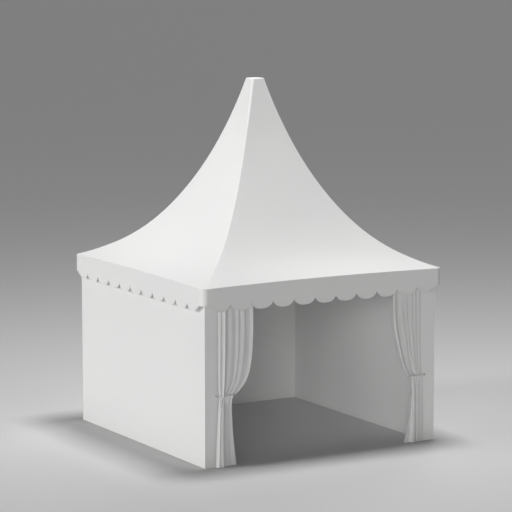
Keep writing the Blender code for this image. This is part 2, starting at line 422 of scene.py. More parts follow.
coatedLook = {
    "colour": (0.81, 0.81, 0.80, 1),
    "shade": (0.792, 0.794, 0.790, 1),     # broad soft clouding of the coating
    "dust": (0.70, 0.68, 0.64, 1),
    "dustHeight": 0.16,                    # splashed dust fades out this far above the ground
    "dustShare": 0.22,
    "roughness": 0.56,
    "ripple": 0.0012,                      # height of the slack that is left in tight cloth
    "threadPitch": 0.0018,
    "threadHeight": 0.00006,
}
liningLook = {
    "colour": (0.90, 0.90, 0.89, 1),
    "shade": (0.875, 0.877, 0.873, 1),
    "dust": (0.66, 0.64, 0.60, 1),
    "dustHeight": 0.12,
    "dustShare": 0.25,
    "roughness": 0.78,
    "ripple": 0.0020,
    "threadPitch": 0.0030,
    "threadHeight": 0.00012,
}
curtainLook = {
    "colour": (0.75, 0.75, 0.741, 1),
    "shade": (0.722, 0.724, 0.72, 1),
    "dust": (0.70, 0.68, 0.64, 1),
    "dustHeight": 0.10,
    "dustShare": 0.25,
    "roughness": 0.80,
    "ripple": 0.0008,
    "threadPitch": 0.0022,
    "threadHeight": 0.00014,
}
# noise scales of the patterns that every cloth has
clothPattern = {"clouds": 0.9, "grime": 9.0, "slack": 1.7}


def clothFinish(name, look, constants):
    material, sketch, place = newFinish(name, look["roughness"], 0.0, constants)
    height = sketch.parts(place)[2]
    across, along, _ = sketch.parts(sketch.node("ShaderNodeUVMap", {"uv_map": "cloth"}))
    clouding = between(noiseOn(sketch, place, clothPattern["clouds"], 3.0) * 2.2 - 0.6)
    grime = noiseOn(sketch, place, clothPattern["grime"], 5.0, 0.62)
    low = between(1.0 - height / look["dustHeight"])
    dusty = between(low * low * (grime + 0.25)) * look["dustShare"]
    colour = mixColour(sketch, clouding, look["colour"], look["shade"])
    turns = math.tau / look["threadPitch"]
    threads = sine(across * turns) * sine(along * turns)
    slack = bumpFrom(sketch, noiseOn(sketch, place, clothPattern["slack"], 2.0, 0.45), look["ripple"] * 4)
    feed(
        sketch, mixColour(sketch, dusty, colour, look["dust"]),
        between(grime * 0.10 + look["roughness"] - 0.05 + dusty * 0.3),
        bumpFrom(sketch, threads, look["threadHeight"], 0.5, slack),
    )
    return material


metalLooks = {
    "aluminium": {"colour": (0.60, 0.61, 0.62, 1), "shade": (0.50, 0.51, 0.53, 1), "roughness": 0.36},
    "steel": {"colour": (0.52, 0.53, 0.54, 1), "shade": (0.36, 0.37, 0.39, 1), "roughness": 0.44},
    "zincPlate": {"colour": (0.62, 0.62, 0.60, 1), "shade": (0.48, 0.48, 0.46, 1), "roughness": 0.32},
}
# noise scales of the patterns on metal
metalPattern = {"dieLines": 60.0, "scuffs": 14.0, "spangle": 55.0, "stains": 22.0}


def drawnMetal(name, look, grain):
    # an extruded profile: die lines run along its length, the axis whose stretch is small
    material, sketch, place = newFinish(name, look["roughness"], 1.0)
    lines = noiseOn(sketch, place, metalPattern["dieLines"], 4.0, 0.6, grain)
    scuffs = between(noiseOn(sketch, place, metalPattern["scuffs"], 6.0, 0.7) * 3.0 - 1.7)
    feed(
        sketch, mixColour(sketch, between(lines * 0.7 + scuffs * 0.3), look["colour"], look["shade"]),
        between(look["roughness"] - 0.08 + lines * 0.16 + scuffs * 0.2),
        bumpFrom(sketch, lines, 0.0002, 0.4),
    )
    return material


def zincMetal(name, look):
    # hot-dip zinc, with its spangle
    material, sketch, place = newFinish(name, look["roughness"], 1.0)
    sockets = {"Vector": place, "Scale": metalPattern["spangle"]}
    tone = sketch.parts(sketch.node("ShaderNodeTexVoronoi", {"feature": "F1"}, sockets, "Color"))[0]
    stain = noiseOn(sketch, place, metalPattern["stains"], 5.0, 0.65)
    feed(
        sketch, mixColour(sketch, between(tone * 0.6 + stain * 0.5 - 0.1), look["colour"], look["shade"]),
        between(look["roughness"] - 0.1 + tone * 0.14 + stain * 0.12),
        bumpFrom(sketch, stain, 0.0004, 0.5),
    )
    return material


def plainFinish(name, colour, roughness):
    material, sketch, place = newFinish(name, roughness)
    grain = noiseOn(sketch, place, 180.0, 3.0)
    shade = [0.8 * value for value in colour]
    feed(
        sketch, mixColour(sketch, grain * 0.25, (*colour, 1), (*shade, 1)),
        between(roughness - 0.05 + grain * 0.1), bumpFrom(sketch, grain, 0.0001, 0.3),
    )
    return material


cable = {
    "heights": (2.49, 2.56),       # at the mast foot and at the heads
    "strands": 6,
    "lay": 0.075,                  # a strand goes once round the cable in this length
    # painted shade: the dark colour of the grooves between the strands, where shade falls
    "shadedGroove": (0.16, 0.16, 0.17, 1),
    "crown": (0.55, 0.56, 0.57, 1),
    "nearGap": 0.002,              # of the length, between the first sleeve and the mast foot
    "farGap": 0.004,
    # turned pieces, as distances along the cable and radii
    "sleeve": ((0, 0.008), (0.006, 0.0095), (0.063, 0.0095), (0.075, 0.0068)),
    "turnbuckleEnd": ((0, 0.0068), (0.004, 0.0095), (0.014, 0.0095), (0.018, 0.013)),
    "turnbuckle": 0.16,
    "fromHead": 0.12,
}
cableLow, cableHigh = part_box("cross_cable_back_right")


def ropeFinish(name):
    # wire rope: the strands are laid round each cable, with painted shade darkening the grooves between
    # them
    material, sketch, place = newFinish(name, 0.38, 1.0)
    x, y, z = sketch.parts(place)
    x, y = abs(x), abs(y)
    diagonal = math.sqrt(0.5)
    nearEnd, farEnd = cableLow.x / diagonal, cableHigh.x / diagonal
    low, high = cable["heights"]
    along = (x + y) * diagonal
    sideways = (x - y) * diagonal
    upwards = z - low - (along - nearEnd) * ((high - low) / (farEnd - nearEnd))
    turn = upwards.maths("ARCTAN2", sideways)
    strands = sine(turn * cable["strands"] + along * (math.tau * cable["strands"] / cable["lay"]))
    # mask of the painted groove shade: 0 in the grooves between strands, 1 on their crowns; it also sets
    # roughness and bump
    shadedGroove = between(strands * 0.5 + 0.5)
    feed(
        sketch, mixColour(sketch, shadedGroove, cable["shadedGroove"], cable["crown"]),
        between(0.62 - shadedGroove * 0.28), bumpFrom(sketch, shadedGroove, 0.0012, 0.9),
    )
    return material


print("finishes")
softShine = {"Specular IOR Level": 0.35}
canopyCloth = clothFinish("canopy_cloth", coatedLook, softShine)
wallCloth = clothFinish("wall_cloth", coatedLook, softShine)
liningCloth = clothFinish("lining_cloth", liningLook, {"Specular IOR Level": 0.25})
curtainCloth = clothFinish("curtain_cloth", curtainLook, {"Specular IOR Level": 0.2, "Sheen Weight": 0.15})
alongX = drawnMetal("aluminium_along_x", metalLooks["aluminium"], (0.04, 4, 4))
alongY = drawnMetal("aluminium_along_y", metalLooks["aluminium"], (4, 0.04, 4))
upright = drawnMetal("aluminium_upright", metalLooks["aluminium"], (4, 4, 0.04))
castMetal = drawnMetal("aluminium_cast", metalLooks["aluminium"], (1, 1, 1))
zinc = zincMetal("galvanised_steel", metalLooks["steel"])
boltMetal = zincMetal("bolt_zinc", metalLooks["zincPlate"])
nylon = plainFinish("nylon", (0.78, 0.78, 0.76), 0.45)
thread = plainFinish("thread", (0.83, 0.83, 0.81), 0.7)
ropeSteel = ropeFinish("wire_rope")

print("roof canopy")
canopy = {
    "columns": 42,            # on each side, of which 5 are on each half corner
    "cornerColumns": 5,
    "hemRows": 2,
    "foldRows": 3,
    "bodyRows": 60,
    "peakRoundRows": 3,
    "capRows": 4,
    "gather": 1.25,           # the rows gather towards the eave
    "eaveRoll": 0.005,        # radius of the fold over the eave rail
    "eaveSteepness": 8.3,     # how fast the half width shrinks with t at the eave
    "hemDrop": 0.008,         # the hem hangs this far below the fold, over the valance's top
    "peakRound": 0.010,
    "thickness": 0.0010,
}


def buildCanopy():
    sizes = {
        "Eave Roll": canopy["eaveRoll"], "Hem Drop": canopy["hemDrop"], "Peak Round": canopy["peakRound"],
    }
    bodyStart = canopy["hemRows"] + canopy["foldRows"]
    bodyEnd = bodyStart + canopy["bodyRows"]
    capStart = bodyEnd + canopy["peakRoundRows"]
    rows = capStart + canopy["capRows"]
    sketch, size, grid, row, side, share = startRing("canopy_shape", sizes, canopy["columns"], rows)
    # rows below the eave, on the roof's faces, and over the peak
    fold = between((bodyStart - row) / canopy["foldRows"]) * quarter
    hem = between((canopy["hemRows"] - row) / canopy["hemRows"])
    climb = between((row - bodyStart) / canopy["bodyRows"])
    over = between((row - bodyEnd) / canopy["peakRoundRows"]) * quarter
    flat = between((row - capStart) / canopy["capRows"])
    start = size["Eave Roll"] / canopy["eaveSteepness"]
    finish = 1.0 - size["Peak Round"] / (peakHeight - roofShape["eaveCornerHeight"])
    t = start + (finish - start) * climb ** canopy["gather"]
    half = roofHalf(t) + size["Eave Roll"] * sine(fold) - size["Peak Round"] * (1.0 - cosine(over))
    half = half * (1.0 - flat)
    radius = least(hipRadiusAt(t), half * 0.7)
    straight = 1 - 2 * canopy["cornerColumns"] / canopy["columns"]
    out, along = sideOutline(share, half, radius, straight)
    swell = sine(least(t / roofShape["bulgeTop"], 1.0) * math.pi) * roofShape["faceBulge"]
    across = between(share / straight, -1.0, 1.0)
    out = out + swell * (1.0 - across * across)
    nearness = least(abs(along) / most(half, 0.001), 1.0)
    height = (
        roofRise(t) + eaveBow(nearness, t)
        - size["Eave Roll"] * (1.0 - cosine(fold)) - size["Hem Drop"] * hem
        + size["Peak Round"] * sine(over)
    )
    clothPlace = (along + side * 4.4, roofRise(t) * 1.3 - hem * 0.02)
    endRing(sketch, grid, side, out, along, height, clothPlace)
    mesh = runShape("roof_canopy", sketch, sizes)
    stood = ["roof_gore_" + side for side in sides] + ["peak_cap"]
    piece = makePiece("roof_canopy", smoothMesh(mesh, 50), None, stood)
    thicken(piece, canopy["thickness"])
    return piece


roofCanopy = buildCanopy()

print("valance")
valance = {
    "scallops": 11,           # on each side
    "scallopColumns": 16,
    "cornerColumns": 8,       # on each half corner
    "bodyRows": 6,
    "bindingRows": 3,
    "cuspHeight": 2.41,
    "roundness": 2.6,         # a scallop's lower edge: 1 - t ** roundness, to the power of its flank
    "flank": 0.62,
    "endFlank": 1.3,          # the flanks next to the corners are cut straighter
    "bindingWidth": 0.013,
    "bindingRise": 0.0009,
    "setBack": 0.0014,        # behind the canopy's hem
    "thickness": 0.0014,
}
scallopReach = valance["cuspHeight"] - scallopBottom
straightEave = eaveHalf - roofShape["eaveCornerRadius"]        # half the straight part of a side


def scallopDepth(t, flankShare):
    # 0 at a cusp, 1 at the bottom of a scallop; flankShare 1 gives the straighter flank of the end ones
    usual = most(1.0 - abs(t) ** valance["roundness"], 0.0) ** valance["flank"]
    straighter = 1.0 - abs(t) ** valance["endFlank"]
    return usual + (straighter - usual) * flankShare


def scallopPlace(share):
    # where share, along the straight part of a side, is within its scallop, and if it is an end flank
    count = valance["scallops"]
    where = (share + 1.0) * (count / 2)
    if isinstance(share, Wire):
        number = between((where + 0.0001).maths("FLOOR"), 0.0, count - 1.0)
        inside = between((where - number) * 2.0 - 1.0, -1.0, 1.0)
        first = number.maths("LESS_THAN", 0.5) * inside.maths("LESS_THAN", 0.0)
        last = number.maths("GREATER_THAN", count - 1.5) * inside.maths("GREATER_THAN", 0.0)
        return inside, first + last
    number = min(max(math.floor(where + 0.0001), 0), count - 1)
    inside = min(max((where - number) * 2 - 1, -1.0), 1.0)
    return inside, float(number == 0 and inside < 0 or number == count - 1 and inside > 0)


def scallopEdge(share):
    return valance["cuspHeight"] - scallopDepth(*scallopPlace(share)) * scallopReach


def buildValance():
    sizes = {"Binding Width": valance["bindingWidth"], "Binding Rise": valance["bindingRise"]}
    straightColumns = valance["scallops"] * valance["scallopColumns"]
    columns = straightColumns + 2 * valance["cornerColumns"]
    straight = straightColumns / columns
    rows = valance["bodyRows"] + valance["bindingRows"]
    sketch, size, grid, row, side, share = startRing("valance_shape", sizes, columns, rows)
    # columns gather towards the cusps, where the edge is steep
    across = between(share / straight, -1.0, 1.0)
    inside, endFlank = scallopPlace(across)
    gathered = sine(inside * quarter)
    onStraight = abs(share).maths("LESS_THAN", straight + 0.0001)
    shift = (gathered - inside) / valance["scallops"] * straight * onStraight
    half = eaveHalf - valance["setBack"]
    out, along = sideOutline(share + shift, half, roofShape["eaveCornerRadius"], straight)
    edge = valance["cuspHeight"] - scallopDepth(gathered, endFlank) * scallopReach
    # the binding is as wide across the slope of the edge as along its bottom
    step = 0.02
    ahead = scallopDepth(between(gathered + step, -1.0, 1.0), endFlank)
    behind = scallopDepth(between(gathered - step, -1.0, 1.0), endFlank)
    scallopWidth = 2 * straightEave / valance["scallops"]
    slope = (ahead - behind) * (scallopReach / (step * scallopWidth))
    bindingTop = edge + size["Binding Width"] * (slope * slope + 1.0) ** 0.5
    bindingTop = least(bindingTop, size["Binding Width"] * 1.3 + valance["cuspHeight"])
    nearness = abs(along) / half
    top = roofShape["eaveCornerHeight"] + eaveBow(nearness, nearness * 0.0) - canopy["hemDrop"]
    body = between((rows - row) / valance["bodyRows"])
    binding = between((valance["bindingRows"] - row) / valance["bindingRows"])
    height = bindingTop + (top - bindingTop) * (1.0 - body) + (edge - bindingTop) * binding
    raised = least(binding * 6.0, 1.0) * size["Binding Rise"]
    endRing(sketch, grid, side, out + raised, along, height, (along + side * 4.2, height))
    mesh = runShape("valance_band", sketch, sizes)
    stood = ["valance_" + side for side in sides]
    piece = makePiece("valance_band", smoothMesh(mesh, 40), None, stood)
    thicken(piece, valance["thickness"])


buildValance()

print("walls and linings")
wall = {
    "bottom": 0.004,          # clear of the ground
    "hemHeight": 0.070,
    "weldWidth": 0.032,       # where two widths of cloth overlap
    "relief": 0.0008,
    "ramp": 0.0015,           # the cloth falls back from a raised band within this
    "clearOf": 0.012,         # no even stop lies closer than this to a raised band
    "slack": 0.0022,
    "thickness": 0.0012,
    "step": 0.10,
    "clothWidth": 1.33,
    "sideHem": 0.08,          # of the flat width, and of the flat height
    "footHem": 0.10,
}


def relievedStops(low, high, step, bands):
    # even stops from low to high, and close pairs at the edges of the raised bands
    count = max(1, round((high - low) / step))
    stops = [low + (high - low) * i / count for i in range(count + 1)]
    ramp, clear = wall["ramp"], wall["clearOf"]
    for start, end in bands:
        stops = [s for s in stops if not start - clear < s < end + clear or s in (low, high)]
        stops += [s for s in (start - ramp, start, end, end + ramp) if low < s < high]
    return sorted(stops)


def raisedBy(place, bands):
    return wall["relief"] if any(start - 0.0001 <= place <= end + 0.0001 for start, end in bands) else 0.0


def clothPanel(name, node, plane, top, finish, seed):
    # an upright panel of joined widths of cloth; plane is the axis that it faces along, where on that axis
    # it stands, and which way it faces
    axis, distance, outward = plane
    low, high = (corner.y if axis == "x" else corner.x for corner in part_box(node))
    length = high - low
    widths = max(1, round(length / wall["clothWidth"]))
    welds = []
    for i in range(1, widths):
        middle = low + length * i / widths
        welds.append((middle - wall["weldWidth"] / 2, middle + wall["weldWidth"] / 2))
    bottom = wall["bottom"]
    hems = [(bottom, bottom + wall["hemHeight"])]
    columns = relievedStops(low, high, wall["step"], welds)
    levels = relievedStops(bottom, top, wall["step"], hems)
    rows = []
    for z in levels:
        row = []
        for along in columns:
            share = (along - low) / length
            hold = min(1.0, 6 * share, 6 * (1 - share)) * min(1.0, 3 * (z - bottom), 3 * (top - z))
            slack = wall["slack"] * hold * (0.5 + 0.5 * noise.noise((along * 0.9, z * 0.5, seed)))
            raised = max(raisedBy(along, welds), raisedBy(z, hems))
            face = distance - outward * (wall["relief"] - raised + slack)
            row.append((face, along, z) if axis == "x" else (along, face, z))
        rows.append(row)
    mesh = gridMesh(name, rows, columns, levels, flip=(axis == "x") == (outward < 0))
    piece = makePiece(name, smoothMesh(mesh, 25), finish, [node])
    thicken(piece, wall["thickness"])
    flat = (length + wall["sideHem"], top + wall["footHem"])


for side, seed in (("left", 3.0), ("right", 8.0), ("back", 12.0)):
    axis = "y" if side == "back" else "x"
    out = -1 if side == "left" else 1
    name, node, plane = "wall_cloth_" + side, "wall_panel_" + side, (axis, out * halfWidth, out)
    clothPanel(name, node, plane, wallTop, wallCloth, seed)
    name, node, plane = "lining_cloth_" + side, "wall_lining_" + side, (axis, out * liningFace, -out)
    clothPanel(name, node, plane, liningTop, liningCloth, seed + 2)

print("post covers")
cover = {
    "corner": 0.007,
    "cornerSteps": 4,
    "frontSteps": 8,
    "reach": 0.004,           # how far it runs on behind the side wall's edge and the lining
    "hemHeight": 0.070,
    "step": 0.08,
    "wave": 0.0010,
    "thickness": 0.0016,
}


def coverPath():
    # plan of the left cover, from the tent's corner over the front and back into the doorway
    low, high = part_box("post_cover_left")
    corner = cover["corner"]
    start = low.x - cover["reach"]
    path = []
    for i in range(cover["frontSteps"]):
        path.append((start + (high.x - corner - start) * i / cover["frontSteps"], low.y))
    for y, start in ((low.y + corner, -quarter), (high.y - corner, 0.0)):
        for i in range(cover["cornerSteps"] + 1):
            angle = start + quarter * i / cover["cornerSteps"]
            path.append((high.x - corner + corner * math.cos(angle), y + corner * math.sin(angle)))
    path.append((-liningFace - cover["reach"], high.y))
    return path


path = coverPath()
lengths = lengthsAlong(path)
hems = [(wall["bottom"], wall["bottom"] + cover["hemHeight"])]
levels = relievedStops(wall["bottom"], liningTop, cover["step"], hems)
for sign, side in ((-1, "left"), (1, "right")):
    rows = []
    for z in levels:
        row = []
        for i, (x, y) in enumerate(path):
            before, after = path[max(i - 1, 0)], path[min(i + 1, len(path) - 1)]
            tangent = Vector((after[0] - before[0], after[1] - before[1])).normalized()
            hold = min(1.0, 20 * lengths[i])
            wave = cover["wave"] * noise.noise((lengths[i] * 4, z * 0.8, sign * 5.0)) * hold
            inward = wall["relief"] + cover["wave"] - raisedBy(z, hems) + wave
            row.append((-sign * (x - tangent.y * inward), y + tangent.x * inward, z))
        rows.append(row)
    name = "post_cover_cloth_" + side
    mesh = gridMesh(name, rows, lengths, levels, flip=sign > 0)
    piece = makePiece(name, smoothMesh(mesh), wallCloth, ["post_cover_" + side])
    thicken(piece, cover["thickness"])

print("curtains")
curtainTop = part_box("curtain_left")[1].z
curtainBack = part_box("curtain_left")[1].y
curtain = {
    "columns": 168,
    "rows": 190,
    "hem": 0.009,             # clear of the ground
    "stitchHeight": 0.062,    # of the line that sews the hem
    "thickness": 0.0018,
    "clear": 0.0015,          # in front of the rail's face
    "drift": 0.008,           # how far a fold wanders sideways
    "crease": 0.06,           # unevenness of the folds, and how much more the tie makes
    "tieCrease": 0.14,
    "tieBlend": (-0.20, 0.02),     # from the folds below the tie to those above it, from its height
    "hemClear": 0.004,        # how far the doorway half of the hem clears the other
    # depth from the wall's face by height; the bundle is narrow under its band
    "depth": (
        (0, 0.062), (0.5, 0.056), (0.9, 0.05), (1, 0.044), (1.06, 0.044), (1.5, 0.06), (2, 0.058),
        (2.4, 0.052), (2.5, 0.046),
    ),
    # just above the band the folds bulge out and hang over it: by length of cloth above the band's upper
    # edge, how far the cloth is out at a full fold, and how far it has dropped
    "bulgeOut": (
        (0, 0), (0.006, 0.16), (0.012, 0.6), (0.02, 1), (0.05, 1), (0.1, 0.86), (0.2, 0.55), (0.4, 0),
    ),
    "bulgeDrop": (
        (0, 0), (0.006, 0.003), (0.012, 0.012), (0.02, 0.028), (0.028, 0.037), (0.036, 0.039),
        (0.046, 0.038), (0.09, 0.033), (0.14, 0.028), (0.2, 0.022), (0.3, 0.012), (0.5, 0),
    ),
    "bulgeDepth": 0.074,
    "bulgeFlat": 0.22,        # of it, where there is no fold
    "bulgeFolds": (0.4, 0.78),    # fuller folds than this drop
}
# each side by height above the ground: where the curtain's post side and doorway side are, in from the
# tent's outer corner; and folds from the post side to the doorway side, as share of the width and share of
# the depth, above the band and below it
curtainSides = {
    "left": {
        "sign": -1,
        "seed": 4,
        "tieHeight": 1.045,
        "postEdge": (
            (0, 0.166), (0.15, 0.172), (0.4, 0.184), (0.8, 0.206), (1, 0.226), (1.06, 0.23), (1.1, 0.214),
            (1.2, 0.208), (1.8, 0.208), (2.5, 0.212),
        ),
        "belly": (
            (0, 0.524), (0.15, 0.505), (0.37, 0.476), (0.6, 0.456), (0.83, 0.445), (1, 0.444),
            (1.03, 0.449), (1.064, 0.464), (1.08, 0.514), (1.11, 0.556), (1.19, 0.634), (1.27, 0.688),
            (1.4, 0.738), (1.53, 0.762), (1.71, 0.785), (1.88, 0.792), (2.05, 0.8), (2.5, 0.792),
        ),
        "folds": (
            (0, 0.25, 0, 0.3), (0.06, 0.62, 0.06, 0.62), (0.098, 0.34, 0.115, 0.92),
            (0.169, 1, 0.17, 0.56), (0.226, 0.4, 0.235, 0.74), (0.3, 0.16, 0.295, 1),
            (0.383, 0.42, 0.36, 0.82), (0.502, 0.18, 0.43, 0.62), (0.569, 0.56, 0.51, 0.46),
            (0.632, 0.26, 0.59, 0.34), (0.716, 0.72, 0.67, 0.25), (0.789, 0.44, 0.76, 0.18),
            (0.89, 0.34, 0.85, 0.12), (0.962, 0.84, 0.93, 0.16), (1, 0.4, 1, 0.08),
        ),
        "flareFrom": 0,              # the foot flares out past here, across the curtain
        "bulge": ((0, 1), (0.3, 1), (0.52, 0), (1, 0)),     # how fully the folds bulge, across it
        "pocket": (0, 0.5, 0.9),     # how far the cloth sinks over the band, from where to where across
    },
    "right": {
        "sign": 1,
        "seed": 9,
        "tieHeight": 1.022,
        "postEdge": (
            (0, 0.196), (0.4, 0.196), (0.8, 0.2), (1, 0.208), (1.03, 0.218), (1.06, 0.238), (1.2, 0.252),
            (1.8, 0.266), (2.5, 0.272),
        ),
        "belly": (
            (0, 0.574), (0.15, 0.541), (0.37, 0.49), (0.6, 0.456), (0.83, 0.434), (1, 0.428), (1.035, 0.44),
            (1.08, 0.508), (1.13, 0.548), (1.25, 0.606), (1.45, 0.672), (1.67, 0.726), (1.86, 0.766),
            (2.09, 0.78), (2.5, 0.778),
        ),
        "folds": (
            (0, 0.1, 0, 0.02), (0.05, 0.18, 0.07, 0.12), (0.125, 0.16, 0.14, 0.14),
            (0.2, 0.25, 0.22, 0.22), (0.265, 0.26, 0.3, 0.26), (0.335, 0.35, 0.38, 0.36),
            (0.415, 0.32, 0.46, 0.42), (0.47, 0.38, 0.53, 0.52), (0.52, 0.44, 0.59, 0.58),
            (0.56, 0.44, 0.64, 0.46), (0.65, 0.53, 0.72, 0.64), (0.745, 0.54, 0.83, 0.82),
            (0.85, 0.56, 0.908, 1), (0.966, 0.94, 0.93, 0.3), (1, 0.4, 1, 0.6),
        ),
        "flareFrom": 0.88,
        "bulge": ((0, 0), (0.48, 0.75), (0.55, 0), (0.6, 0), (0.93, 1), (1, 1)),
        "pocket": (0.92, 0.46, 0.68),
    },
}
band = {
    "height": 0.038,
    "thickness": 0.0022,
    "points": 72,
    "clear": 0.0022,          # between the curtain and the band's inner face
    "cup": 0.0018,            # the middle of the band stands out past its edges
    "levels": (-1, -0.85, -0.4, 0, 0.4, 0.85, 1),     # its rows, as shares of its half height
    "loopEnd": 0.196,         # the band's loop and the hook, from the tent's outer corner
    "loopSteps": 8,
    "loopHalf": 0.42,         # half its width at the band, of the band's height, and how much it narrows
    "loopTaper": 0.12,
    "loopThickness": 0.003,
    "ringRadius": 0.01,
    "ringWire": 0.0016,
    "hookReach": 0.182,
    "hookRise": 0.018,        # above the middle of the band
    "hookWire": 0.0022,
    "plateRadius": 0.012,
    # the hook's bend, as distances from the wall's face and upwards
    "hookBend": (
        (0.001, 0), (-0.01, -0.001), (-0.018, -0.007), (-0.024, -0.012), (-0.03, -0.012), (-0.035, -0.007),
        (-0.036, 0),
    ),
    "ends": 0.055,            # of the band's length, folded into the loop
}


def smoothStep(x, low, high):
    t = min(1.0, max(0.0, (x - low) / (high - low)))
    return t * t * (3 - 2 * t)


def easedValue(stops, x):
    # from one (place, value) stop to the next, easing in and out
    for (x0, v0), (x1, v1) in zip(stops, stops[1:]):
        if x <= x1:
            break
    return v0 + (v1 - v0) * smoothStep(x, x0, x1)


def curveThrough(values, place):
    # a smooth curve through evenly numbered values
    i = min(int(place), len(values) - 2)
    f = place - i
    before, start = values[max(i - 1, 0)], values[i]
    end, after = values[i + 1], values[min(i + 2, len(values) - 1)]
    bend = 2 * before - 5 * start + 4 * end - after
    twist = 3 * start - 3 * end + after - before
    return start + 0.5 * f * (end - before + f * (bend + f * twist))


def stopValue(stops, z):
    # a smooth curve through (height, value) stops, level where the stops turn
    for k in range(len(stops) - 1):
        (z0, v0), (z1, v1) = stops[k], stops[k + 1]
        if z <= z1:
            break
    slopes = []
    for m in (k, k + 1):
        low, high = stops[max(m - 1, 0)], stops[min(m + 1, len(stops) - 1)]
        slopes.append((high[1] - low[1]) / (high[0] - low[0]))
    width = z1 - z0
    f = min(1.0, max(0.0, (z - z0) / width))
    rise = (2 * f ** 3 - 3 * f ** 2 + 1) * v0 + (3 * f ** 2 - 2 * f ** 3) * v1
    return rise + width * ((f ** 3 - 2 * f ** 2 + f) * slopes[0] + (f ** 3 - f ** 2) * slopes[1])


def curtainPoint(side, c, z):
    # c runs from 0 at the post side to 1 at the doorway side; z is the cloth's own height, before it bulges
    shape = curtainSides[side]
    sign, tie, folds, seed = shape["sign"], shape["tieHeight"], shape["folds"], shape["seed"]
    low, high = curtain["tieBlend"]
    under = 1 - smoothStep(z, tie + low, tie + high)
    place = c * (len(folds) - 1)
    values = [curveThrough(column, place) for column in zip(*folds)]
    share = values[0] + (values[2] - values[0]) * under
    fold = values[1] + (values[3] - values[1]) * under
    share += curtain["drift"] * noise.noise((c * 5, z * 0.8, seed)) * math.sin(math.pi * c)
    nearTie = curtain["tieCrease"] * math.exp(-((z - tie) / 0.13) ** 2)
    fold += curtain["crease"] * noise.noise((c * 16, z * 2.2, seed + 2))
    fold += nearTie * noise.noise((c * 26, z * 7, seed + 1))
    fold = min(max(fold, 0.02), 1.04)
    outer = stopValue(shape["postEdge"], z)
    inner = stopValue(shape["belly"], z)
    tied = stopValue(shape["belly"], tie) - stopValue(shape["postEdge"], tie)
    start = shape["flareFrom"] * under
    u = outer + tied * share + (inner - outer - tied) * max(0.0, share - start) / (1 - start)
    depth = stopValue(curtain["depth"], z) * fold
    lift = z - tie - band["height"] / 2
    if lift > 0:
        fully = easedValue(shape["bulge"], c)
        full = curtain["bulgeDepth"] * (curtain["bulgeFlat"] + (1 - curtain["bulgeFlat"]) * fold)
        depth += (full - depth) * min(stopValue(curtain["bulgeOut"], lift), 1.0) * fully
        hanging = smoothStep(fold, *curtain["bulgeFolds"])
        z -= stopValue(curtain["bulgeDrop"], min(lift, 0.5)) * hanging * fully
        sink, start, end = shape["pocket"]
        across = smoothStep(c, start, start + 0.12) * (1 - smoothStep(c, end - 0.05, end))
        depth *= 1 - sink * across * math.exp(-((lift - 0.05) / 0.05) ** 2) * smoothStep(lift, 0.0, 0.02)
    if z < 0.3:
        z += curtain["hemClear"] * smoothStep(c, 0.44, 0.52) * (1 - smoothStep(z, 0.02, 0.3))
    return sign * (halfWidth - u), curtainBack - curtain["clear"] - depth, z


def curtainRow(side, z):
    return [curtainPoint(side, i / curtain["columns"], z) for i in range(curtain["columns"] + 1)]


def curtainLevels(tie):
    # rows close up round the band
    count = 2000
    low = curtain["hem"]
    step = (curtainTop - low) / count
    sums = [0.0]
    for i in range(count):
        away = low + step * (i + 0.5) - tie - 0.03
        sums.append(sums[-1] + 1 + 6 * math.exp(-(away / 0.06) ** 2))
    levels = []
    i = 0
    for r in range(curtain["rows"] + 1):
        goal = sums[-1] * r / curtain["rows"]
        while i < count - 1 and sums[i + 1] < goal:
            i += 1
        levels.append(low + step * (i + (goal - sums[i]) / (sums[i + 1] - sums[i])))
    return levels


def buildCurtain(side):
    shape = curtainSides[side]
    levels = curtainLevels(shape["tieHeight"])
    rows = [curtainRow(side, z) for z in levels]
    widths = [0.0]
    for first, second in zip(rows[-20], rows[-20][1:]):
        widths.append(widths[-1] + (Vector(first) - Vector(second)).length)
    name = "curtain_cloth_" + side
    mesh = gridMesh(name, rows, widths, levels, flip=shape["sign"] > 0)
    piece = makePiece(name, smoothMesh(mesh, 180), curtainCloth, ["curtain_" + side])
    thicken(piece, curtain["thickness"], 0.0)


for side in curtainSides:
    buildCurtain(side)

print("bands and hooks")


def bundleOutline(side):
    # the plan of the bundled curtain under its band, as a tight band takes it: evenly spaced points and
    # the way out at each, from the post side round the front
    shape = curtainSides[side]
    spots = set()
    for rise in (-0.5, 0, 0.5):
        for x, y, z in curtainRow(side, shape["tieHeight"] + rise * band["height"]):
            spots.add((shape["sign"] * x, y))
    spots = sorted(spots, reverse=True)
    hull = []
    for run in (spots, spots[::-1]):
        start = len(hull)
        for spot in run:
            while len(hull) - start > 1:
                (x0, y0), (x1, y1) = hull[-2:]
                if (x1 - x0) * (spot[1] - y0) - (y1 - y0) * (spot[0] - x0) > 0:
                    break
                hull.pop()
            hull.append(spot)
        hull.pop()
    hull.append(hull[0])
    lengths = lengthsAlong(hull)
    even = []
    k = 0
    for i in range(band["points"]):
        goal = lengths[-1] * i / band["points"]
        while lengths[k + 1] < goal:
            k += 1
        share = (goal - lengths[k]) / (lengths[k + 1] - lengths[k])
        even.append(Vector(hull[k]).lerp(Vector(hull[k + 1]), share))
    for _ in range(2):
        even = [(even[i - 1] + even[i] * 2 + even[(i + 1) % len(even)]) / 4 for i in range(len(even))]
    outline = []
    for i, spot in enumerate(even):
        tangent = (even[(i + 1) % len(even)] - even[i - 1]).normalized()
        outline.append((spot, Vector((tangent.y, -tangent.x))))
    return outline, lengths[-1]


